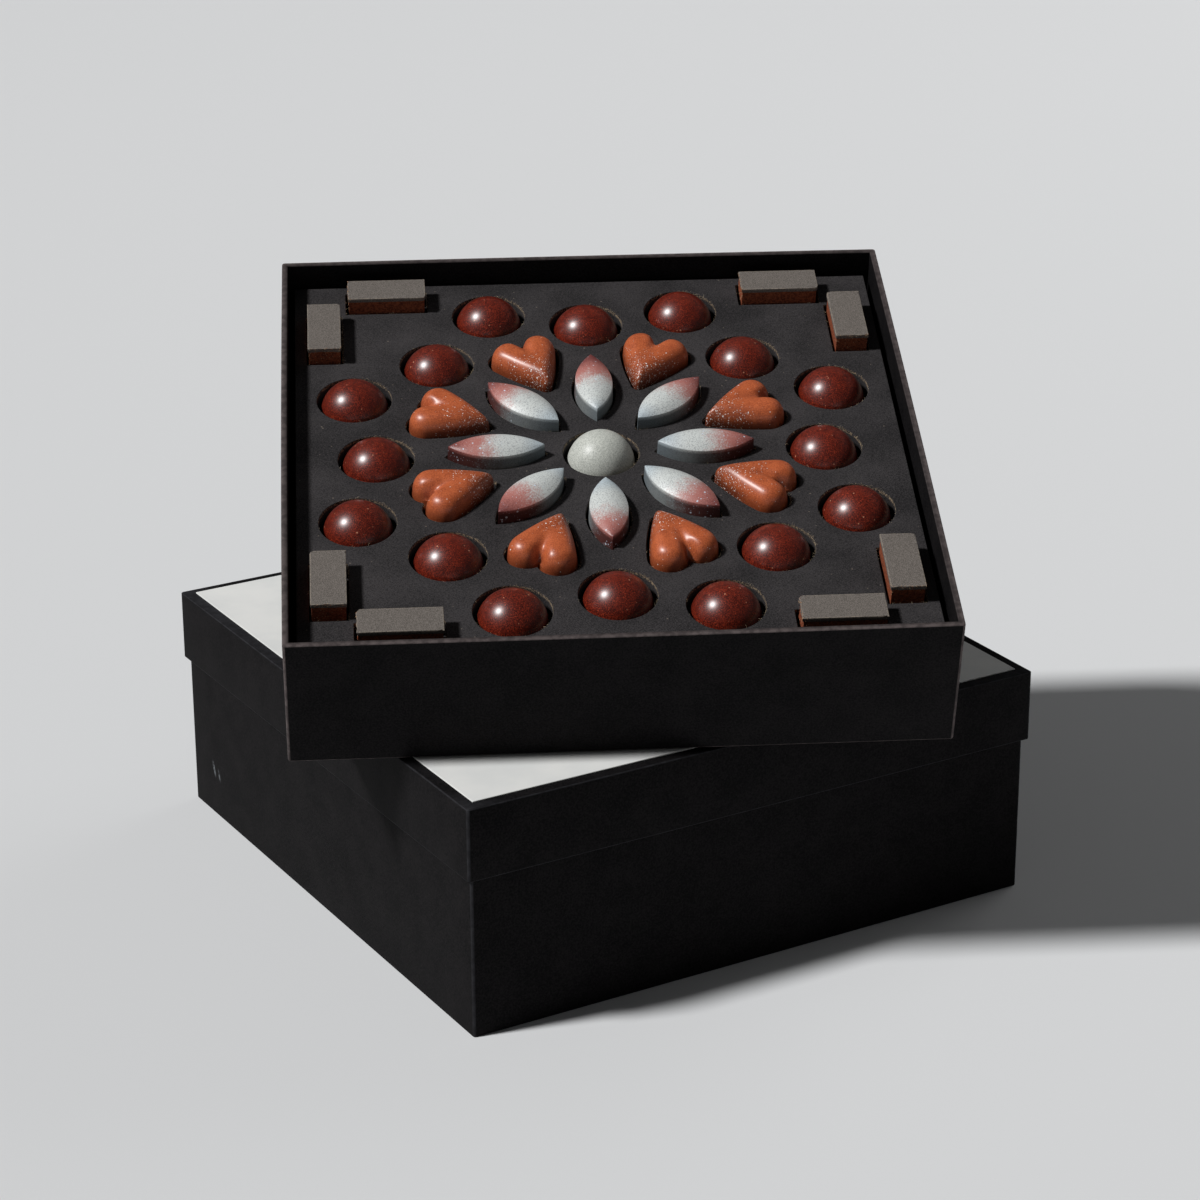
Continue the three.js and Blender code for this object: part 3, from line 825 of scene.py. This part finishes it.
def lintTree():  # fibres on the pockets' rims, in clumps, and mostly along one side of each pocket
    inputs = {"Spacing": "Float", "Share": "Float", "Seed": "Int", "Fibre": "Object", "Material": "Material"}
    tree, wires = newTree("pocketLint", inputs)
    start = wires["Geometry"]
    lines = start.node("GeometryNodeMeshToCurve", {"Mesh": start})
    even = {"Curve": lines, "Length": wires["Spacing"]}
    dots = start.node("GeometryNodeCurveToPoints", even, mode="LENGTH")
    alongX, alongY = parts(Wire(tree, dots.socket.node.outputs["Tangent"]))[:2]
    wayX, wayY = lintSpec["frayWay"]
    frayed = lintSpec["frayLeast"] + rise(alongY * wayY + alongX * wayX, *lintSpec["toFrayed"])
    clumps = rise(cloud(start.node("GeometryNodeInputPosition"), lintSpec["clump"]), *lintSpec["toClump"])
    chosen = scatterValue(start, "FLOAT", 0.0, 1.0, wires["Seed"]) < wires["Share"] * clumps * frayed
    fibre = meshOf(wires["Fibre"])
    lean = lintSpec["lean"]
    turn = scatterValue(start, "FLOAT_VECTOR", (-lean, -lean, -pi), (lean, lean, pi), wires["Seed"] + 1)
    size = scatterValue(start, "FLOAT", *lintSpec["sizes"], wires["Seed"] + 2)
    copies = {"Points": dots, "Selection": chosen, "Instance": fibre, "Rotation": turn, "Scale": size}
    endTree(tree, start.node("GeometryNodeInstanceOnPoints", copies), wires["Material"])
    return tree


fibre = fibreObject()
lintFinish = newFinish("tanLint", looseLook, looseBits, lintSpec)
lintMesh = grow("lint", rims.copy(), lintTree(), {
    "Spacing": lintSpec["spacing"], "Share": lintSpec["share"], "Seed": lintSpec["seed"], "Fibre": fibre,
    "Material": lintFinish,
})
bpy.data.objects.remove(fibre)
lintMesh.transform(topAxes)
lint = meshPiece("pocket_lint", lintMesh)
finishPiece(lint, "insert", [], lintFinish)
print("lint laid,", len(lintMesh.polygons), "faces")


# Chocolates

def shellRings(outlines, top):  # walls through (outline, z) rings, then a top that closes over the last one
    rings = [[(x, y, z) for x, y in outline] for outline, z in outlines]
    height, last = top["height"], outlines[-1][0]
    for share in top["shares"]:
        rings.append([(share * x, share * y, height(share * x, share * y)) for x, y in last])
    rings.append([(0, 0, height(0, 0))])
    return rings


def shell(name, axes, outlines, top, marks=None):
    rings = shellRings(outlines, top)
    return loft(name, rings, marks(chain(rings)) if marks else {}, axes)


def inwards(count, tight):  # shares of the way out to the rim, from near 1 down; tight ones crowd at the rim
    return [sin(pi / 2 * (1 - i / count)) if tight else 1 - i / count for i in range(1, count)]


def onPiece(size, shift=0.0):  # each point's place on its piece: -1 to 1 along and across, 0 to 1 up
    def mark(points):
        return {"onPiece": [(2 * x / size.x + shift, 2 * y / size.y, z / size.z) for x, y, z in points]}
    return mark


domeSpec = {"skirt": 0.8 * mm, "draft": 0.2 * mm, "points": 96, "rings": 26, "crease": 60}


def domeMesh(name, axes, size):  # half a ball on a short skirt
    radius, skirt = size.x / 2, domeSpec["skirt"]
    foot = circleOutline(radius - domeSpec["draft"], domeSpec["points"])
    rim = circleOutline(radius, domeSpec["points"])

    def height(x, y):
        return skirt + (size.z - skirt) * sqrt(max(0, 1 - (x * x + y * y) / radius ** 2))

    top = {"shares": inwards(domeSpec["rings"], True), "height": height}
    return smoothBelow(shell(name, axes, [(foot, 0), (rim, skirt)], top), domeSpec["crease"])


petalSpec = {
    "wall": 12.4 * mm, "edge": 0.4 * mm, "edgeSteps": 4, "edgeTurn": radians(62), "steps": 44, "rings": 22,
    "crease": 35, "sprayShift": (-0.3, 0.15), "seed": 11,
}


def petalMesh(name, axes, size, shift):  # a lens with upright walls under a top that swells to the middle
    wall, edge, turn = petalSpec["wall"], petalSpec["edge"], petalSpec["edgeTurn"]

    def lens(inset):
        return lensOutline(size.x - 2 * inset, size.y - 2 * inset, petalSpec["steps"])

    outlines = [(lens(0), 0), (lens(mouldDraft * (1 - edge / wall)), wall - 2 * edge)]
    for i in range(petalSpec["edgeSteps"] + 1):
        angle = i / petalSpec["edgeSteps"] * turn
        outlines.append((lens(mouldDraft + edge * (1 - cos(angle))), wall - edge + edge * sin(angle)))
    rimHeight = outlines[-1][1]
    rimInset = mouldDraft + edge * (1 - cos(turn))
    length, width = size.x - 2 * rimInset, size.y - 2 * rimInset
    arc = (length ** 2 + width ** 2) / (4 * width)

    def height(x, y):
        half = sqrt(max(arc ** 2 - x * x, 0)) - arc + width / 2
        u = 2 * x / length
        v = y / half if half > 0 else 0
        return rimHeight + (size.z - rimHeight) * max(0, 1 - u * u) * max(0, 1 - v * v)

    top = {"shares": inwards(petalSpec["rings"], False), "height": height}
    return smoothBelow(shell(name, axes, outlines, top, onPiece(size, shift)), petalSpec["crease"])


def heartRingsOf(size):  # a pillow over the heart's outline, with a groove that fades from its notch
    wall, crown = heartSpec["wall"], size.z - heartSpec["wall"]
    length, width = size.x - 2 * mouldDraft, size.y - 2 * mouldDraft
    foot = heartOutline(length, width, heartSpec["points"], mouldDraft)
    rim = heartOutline(length, width, heartSpec["points"])
    fineRim = heartOutline(length, width, heartSpec["fine"])
    ridgeDepth = heartSpec["ridge"] * softDepth(0, 0, fineRim)
    cleft = rim[0][0]

    def height(x, y):
        slope = 1 - min(1, softDepth(x, y, fineRim) / ridgeDepth)
        fade = max(0, 1 - (cleft - x) / heartSpec["grooveLength"]) ** 2
        groove = heartSpec["groove"] * fade * exp(-(y / heartSpec["grooveWidth"]) ** 2)
        return wall + max(0, crown * sqrt(1 - slope * slope) - groove)

    count, tighten = heartSpec["rings"], heartSpec["tighten"]
    shares = [1 - (i / count) ** tighten for i in range(1, count)]
    return shellRings([(foot, 0), (rim, wall)], {"shares": shares, "height": height})


heartRings = heartRingsOf(heartSize)  # worked out once for all eight


def heartMesh(name, axes, size):
    marks = onPiece(size)(chain(heartRings))
    return smoothBelow(loft(name, heartRings, marks, axes), heartSpec["crease"])


barSpec = {
    "sheet": 1.8 * mm, "overhang": 0.4 * mm, "edge": 0.25 * mm, "step": 0.8 * mm, "levels": 7, "rings": 6,
    "rough": 0.2 * mm, "lump": 2.2 * mm, "ragged": 0.1 * mm, "waver": 0.05 * mm, "seat": (31.7, 17.3, 5.9),
    "endShare": 0.1, "brokenEnd": 0.7 * mm, "chip": 1.6 * mm, "chipDepth": 0.5, "crumbLeast": 0.15,
    "undercut": 0.05 * mm, "round": 0.3, "crease": 38,
}


def barMesh(name, axes, size, seed):  # a sawn block under a thin sheet with slightly ragged, chipped edges
    spec = barSpec
    seat = Vector([number * seed for number in spec["seat"]])  # where in the noise this bar lies
    chipped = random.Random(seed).choice(((1, 1), (1, -1), (-1, 1), (-1, -1)))

    def nearEnd(x):  # 0 along most of the bar, 1 at the end where it was broken off
        return max(0, (-x - (0.5 - spec["endShare"]) * size.x) / (spec["endShare"] * size.x))

    def ragged(inset, z, amount):  # an outline pulled in by noise, most at the broken end and one corner
        ring = []
        for x, y in barOutline(size.x - 2 * inset, size.y - 2 * inset, spec["step"]):
            wave = 0.5 + 0.5 * noise.noise(Vector((x, y, z)) / spec["lump"] + seat)
            depth = wave * (amount + spec["brokenEnd"] * nearEnd(x) ** 3)
            away = hypot(x - chipped[0] * size.x / 2, y - chipped[1] * size.y / 2)
            depth += max(0, spec["chip"] - away) * spec["chipDepth"]
            pull = 1 - depth / hypot(x, y)
            ring.append((x * pull, y * pull))
        return ring

    step, edge = size.z - spec["sheet"], spec["edge"]
    outlines, sheet, lipCrumbAndHighlight = [], [], []
    for i in range(spec["levels"] + 1):
        z = step * i / spec["levels"]
        outlines.append((ragged(spec["overhang"], z, spec["rough"]), z))
        sheet.append(0.0)
        lipCrumbAndHighlight.append(0.0)
    turned = edge * spec["round"]
    sheetRings = (
        (spec["undercut"], step), (0, step + edge), (0, size.z - edge),
        (turned, size.z - turned), (edge, size.z), (2 * edge, size.z),
    )
    for inset, z in sheetRings:
        outlines.append((ragged(inset, z, spec["ragged"]), z))
        sheet.append(1.0)
        # the sheet's rounded edge is marked to be painted paler, partly as a painted highlight
        lipCrumbAndHighlight.append(1.0 if 0 < inset <= edge and z > step else 0.0)

    def height(x, y):
        return size.z - spec["waver"] * abs(noise.noise(Vector((x, y, 0)) / spec["lump"] + seat))

    def marks(points):
        rows = [i // len(outlines[0][0]) for i in range(len(points))]
        return {
            "sheet": [sheet[min(row, len(sheet) - 1)] for row in rows],
            "edge": [lipCrumbAndHighlight[row] if row < len(lipCrumbAndHighlight) else 0.0 for row in rows],
            "crumbly": [nearEnd(x) * (spec["crumbLeast"] + z / size.z) if row < len(lipCrumbAndHighlight) - 1 else 0.0
                        for row, (x, y, z) in zip(rows, points)],
        }

    top = {"shares": inwards(spec["rings"], False), "height": height}
    return smoothBelow(shell(name, axes, outlines, top, marks), spec["crease"])


def placeChocolate(node, turn, slot, material, build, *extra):
    axes, size = standOn(trayAxes @ Matrix.Rotation(turn, 4, "Z"), [node])
    piece = meshPiece(node + "_shell", build(node + "_shell", axes, size, *extra))
    finishPiece(piece, node, [node], material)
    return piece


crumbSpec = {
    "density": 1.0e6, "size": 0.28 * mm, "least": (0.3, 0.3, 0.3), "most": (1.0, 1.2, 0.8),
    "jitter": 0.35, "seed": 3,
    "dark": tint(120, 66, 42), "light": tint(190, 158, 124), "grain": 1.1 * mm,
}


def crumbObject():  # a small uneven lump
    lump = bmesh.new()
    bmesh.ops.create_icosphere(lump, subdivisions=1, radius=crumbSpec["size"])
    shaken = random.Random(crumbSpec["seed"])
    for vertex in lump.verts:
        vertex.co *= 1 + shaken.uniform(-crumbSpec["jitter"], crumbSpec["jitter"])
    mesh = bpy.data.meshes.new("crumb")
    lump.to_mesh(mesh)
    lump.free()
    return meshPiece("crumb", mesh)


def crumbTree():  # crumbs where a bar is marked as crumbly
    inputs = {"Density": "Float", "Seed": "Int", "Crumb": "Object", "Material": "Material"}
    tree, wires = newTree("barCrumbs", inputs)
    start = wires["Geometry"]
    crumbly = start.node("GeometryNodeInputNamedAttribute", {"Name": "crumbly"}, data_type="FLOAT")
    density = crumbly * crumbly * wires["Density"]
    values = {"Mesh": start, "Density": density, "Seed": wires["Seed"]}
    dots = start.node("GeometryNodeDistributePointsOnFaces", values, distribute_method="RANDOM")
    crumb = meshOf(wires["Crumb"])
    turn = scatterValue(start, "FLOAT_VECTOR", (-pi, -pi, -pi), (pi, pi, pi), wires["Seed"] + 1)
    size = scatterValue(start, "FLOAT_VECTOR", crumbSpec["least"], crumbSpec["most"], wires["Seed"] + 2)
    copies = {"Points": dots, "Instance": crumb, "Rotation": turn, "Scale": size}
    endTree(tree, start.node("GeometryNodeInstanceOnPoints", copies), wires["Material"])
    return tree


marbled = newFinish("marbledRedShell", domeLook, marbledShell)
white = newFinish("speckledWhiteShell", whiteLook, whiteShell)
rose = newFinish("rosePetalShell", petalLook, petalShell)
caramel = newFinish("caramelHeartShell", heartLook, heartShell)
sawn = newFinish("sawnChocolateBar", barLook, sawnBar)
crumb, crumbs = crumbObject(), crumbTree()
crumbFinish = newFinish("chocolateCrumbs", looseLook, looseBits, crumbSpec)
petalShift = random.Random(petalSpec["seed"])  # the rose spray reaches differently far on each petal
placeChocolate("white_dome", 0, "white_shell", white, domeMesh)
for spoke in range(spokes):
    onSpoke, between = spoke * spokeAngle, (spoke + 0.5) * spokeAngle
    shift = petalShift.uniform(*petalSpec["sprayShift"])
    placeChocolate(f"petal_{spoke + 1}", onSpoke, "petal_shell", rose, petalMesh, shift)
    placeChocolate(f"heart_{spoke + 1}", between, "heart_shell", caramel, heartMesh)
    placeChocolate(f"marbled_dome_{2 * spoke + 1}", onSpoke, "marbled_shell", marbled, domeMesh)
    placeChocolate(f"marbled_dome_{2 * spoke + 2}", between, "marbled_shell", marbled, domeMesh)
    bar = f"bar_{spoke + 1}"
    block = placeChocolate(bar, (spoke % 2) * pi / 2, "sawn_bar", sawn, barMesh, spoke + 1)
    scattered = grow(bar + "_crumbs", block.data.copy(), crumbs, {
        "Density": crumbSpec["density"], "Seed": crumbSpec["seed"] + spoke,
        "Crumb": crumb, "Material": crumbFinish,
    })
    finishPiece(meshPiece(bar + "_crumbs", scattered), bar, [], crumbFinish)
bpy.data.objects.remove(crumb)
print("chocolates placed")


# Floor, light and camera

stageSpec = {
    "floor": tint(218, 219, 220), "floorRadius": 40.0, "floorSides": 96, "rough": 0.8, "gloss": 0.1,
    "ambient": 0.08, "behind": 0.87,
}
floorMesh = bpy.data.meshes.new("floor")
disc = bmesh.new()
bmesh.ops.create_circle(
    disc, cap_ends=True, radius=stageSpec["floorRadius"], segments=stageSpec["floorSides"])
disc.to_mesh(floorMesh)
disc.free()
floor = meshPiece("floor", floorMesh)
floorFinish = bpy.data.materials.new("paleFloor")
floorFinish.use_nodes = True
feed(floorFinish.node_tree.nodes["Principled BSDF"], {
    "Base Color": stageSpec["floor"],
    "Roughness": stageSpec["rough"],
    "Specular IOR Level": stageSpec["gloss"],
})
floorMesh.materials.append(floorFinish)

lampSpec = {
    "key": {"kind": "SUN", "azimuth": -102, "elevation": 48, "distance": 6.0, "power": 3.4},
    "fill": {"kind": "AREA", "azimuth": 100, "elevation": 32, "distance": 3.0, "power": 12.0},
}
lampSoftness = {"sunAngle": radians(7.5), "areaSize": 2.4}
middleOfPart = Vector((0, 0, 70 * mm))


def direction(azimuth, elevation):  # towards a place seen from the part; azimuth 0 is the front, 90 the right
    a, e = radians(azimuth), radians(elevation)
    return Vector((sin(a) * cos(e), -cos(a) * cos(e), sin(e)))


for lampName, spec in lampSpec.items():
    lampData = bpy.data.lights.new(lampName, spec["kind"])
    lampData.energy = spec["power"]
    if spec["kind"] == "SUN":
        lampData.angle = lampSoftness["sunAngle"]
    else:
        lampData.shape = "DISK"
        lampData.size = lampSoftness["areaSize"]
    lamp = bpy.data.objects.new(lampName, lampData)
    towards = direction(spec["azimuth"], spec["elevation"])
    lamp.location = middleOfPart + towards * spec["distance"]
    lamp.rotation_euler = towards.to_track_quat("Z", "Y").to_euler()
    lamp.visible_camera = False
    lamp.visible_glossy = lampName == "key"  # only the key shows as highlights
    scene.collection.objects.link(lamp)

world = bpy.data.worlds.new("studio")
world.use_nodes = True
sky = world.node_tree.nodes["Background"]
seen = Wire(world.node_tree).node("ShaderNodeLightPath", out="Is Camera Ray")
strength = stageSpec["ambient"] + seen * (stageSpec["behind"] - stageSpec["ambient"])
feed(sky, {"Color": stageSpec["floor"], "Strength": strength})
scene.world = world
scene.view_settings.view_transform = "Standard"

cameraSpec = {
    "place": (-0.66593, -1.14427, 0.62889), "azimuth": -30.32, "elevation": 21.378, "roll": -0.256,
    "lens": 101.99, "sensor": 36, "clipEnd": 60,
}
cameraData = bpy.data.cameras.new("camera")
cameraData.lens = cameraSpec["lens"]
cameraData.sensor_width = cameraSpec["sensor"]
cameraData.clip_end = cameraSpec["clipEnd"]
camera = bpy.data.objects.new("camera", cameraData)
camera.matrix_world = (
    Matrix.Translation(cameraSpec["place"])
    @ Matrix.Rotation(radians(cameraSpec["azimuth"]), 4, "Z")
    @ Matrix.Rotation(radians(90 - cameraSpec["elevation"]), 4, "X")
    @ Matrix.Rotation(radians(cameraSpec["roll"]), 4, "Z")
)
scene.collection.objects.link(camera)
scene.camera = camera
print("stage set")
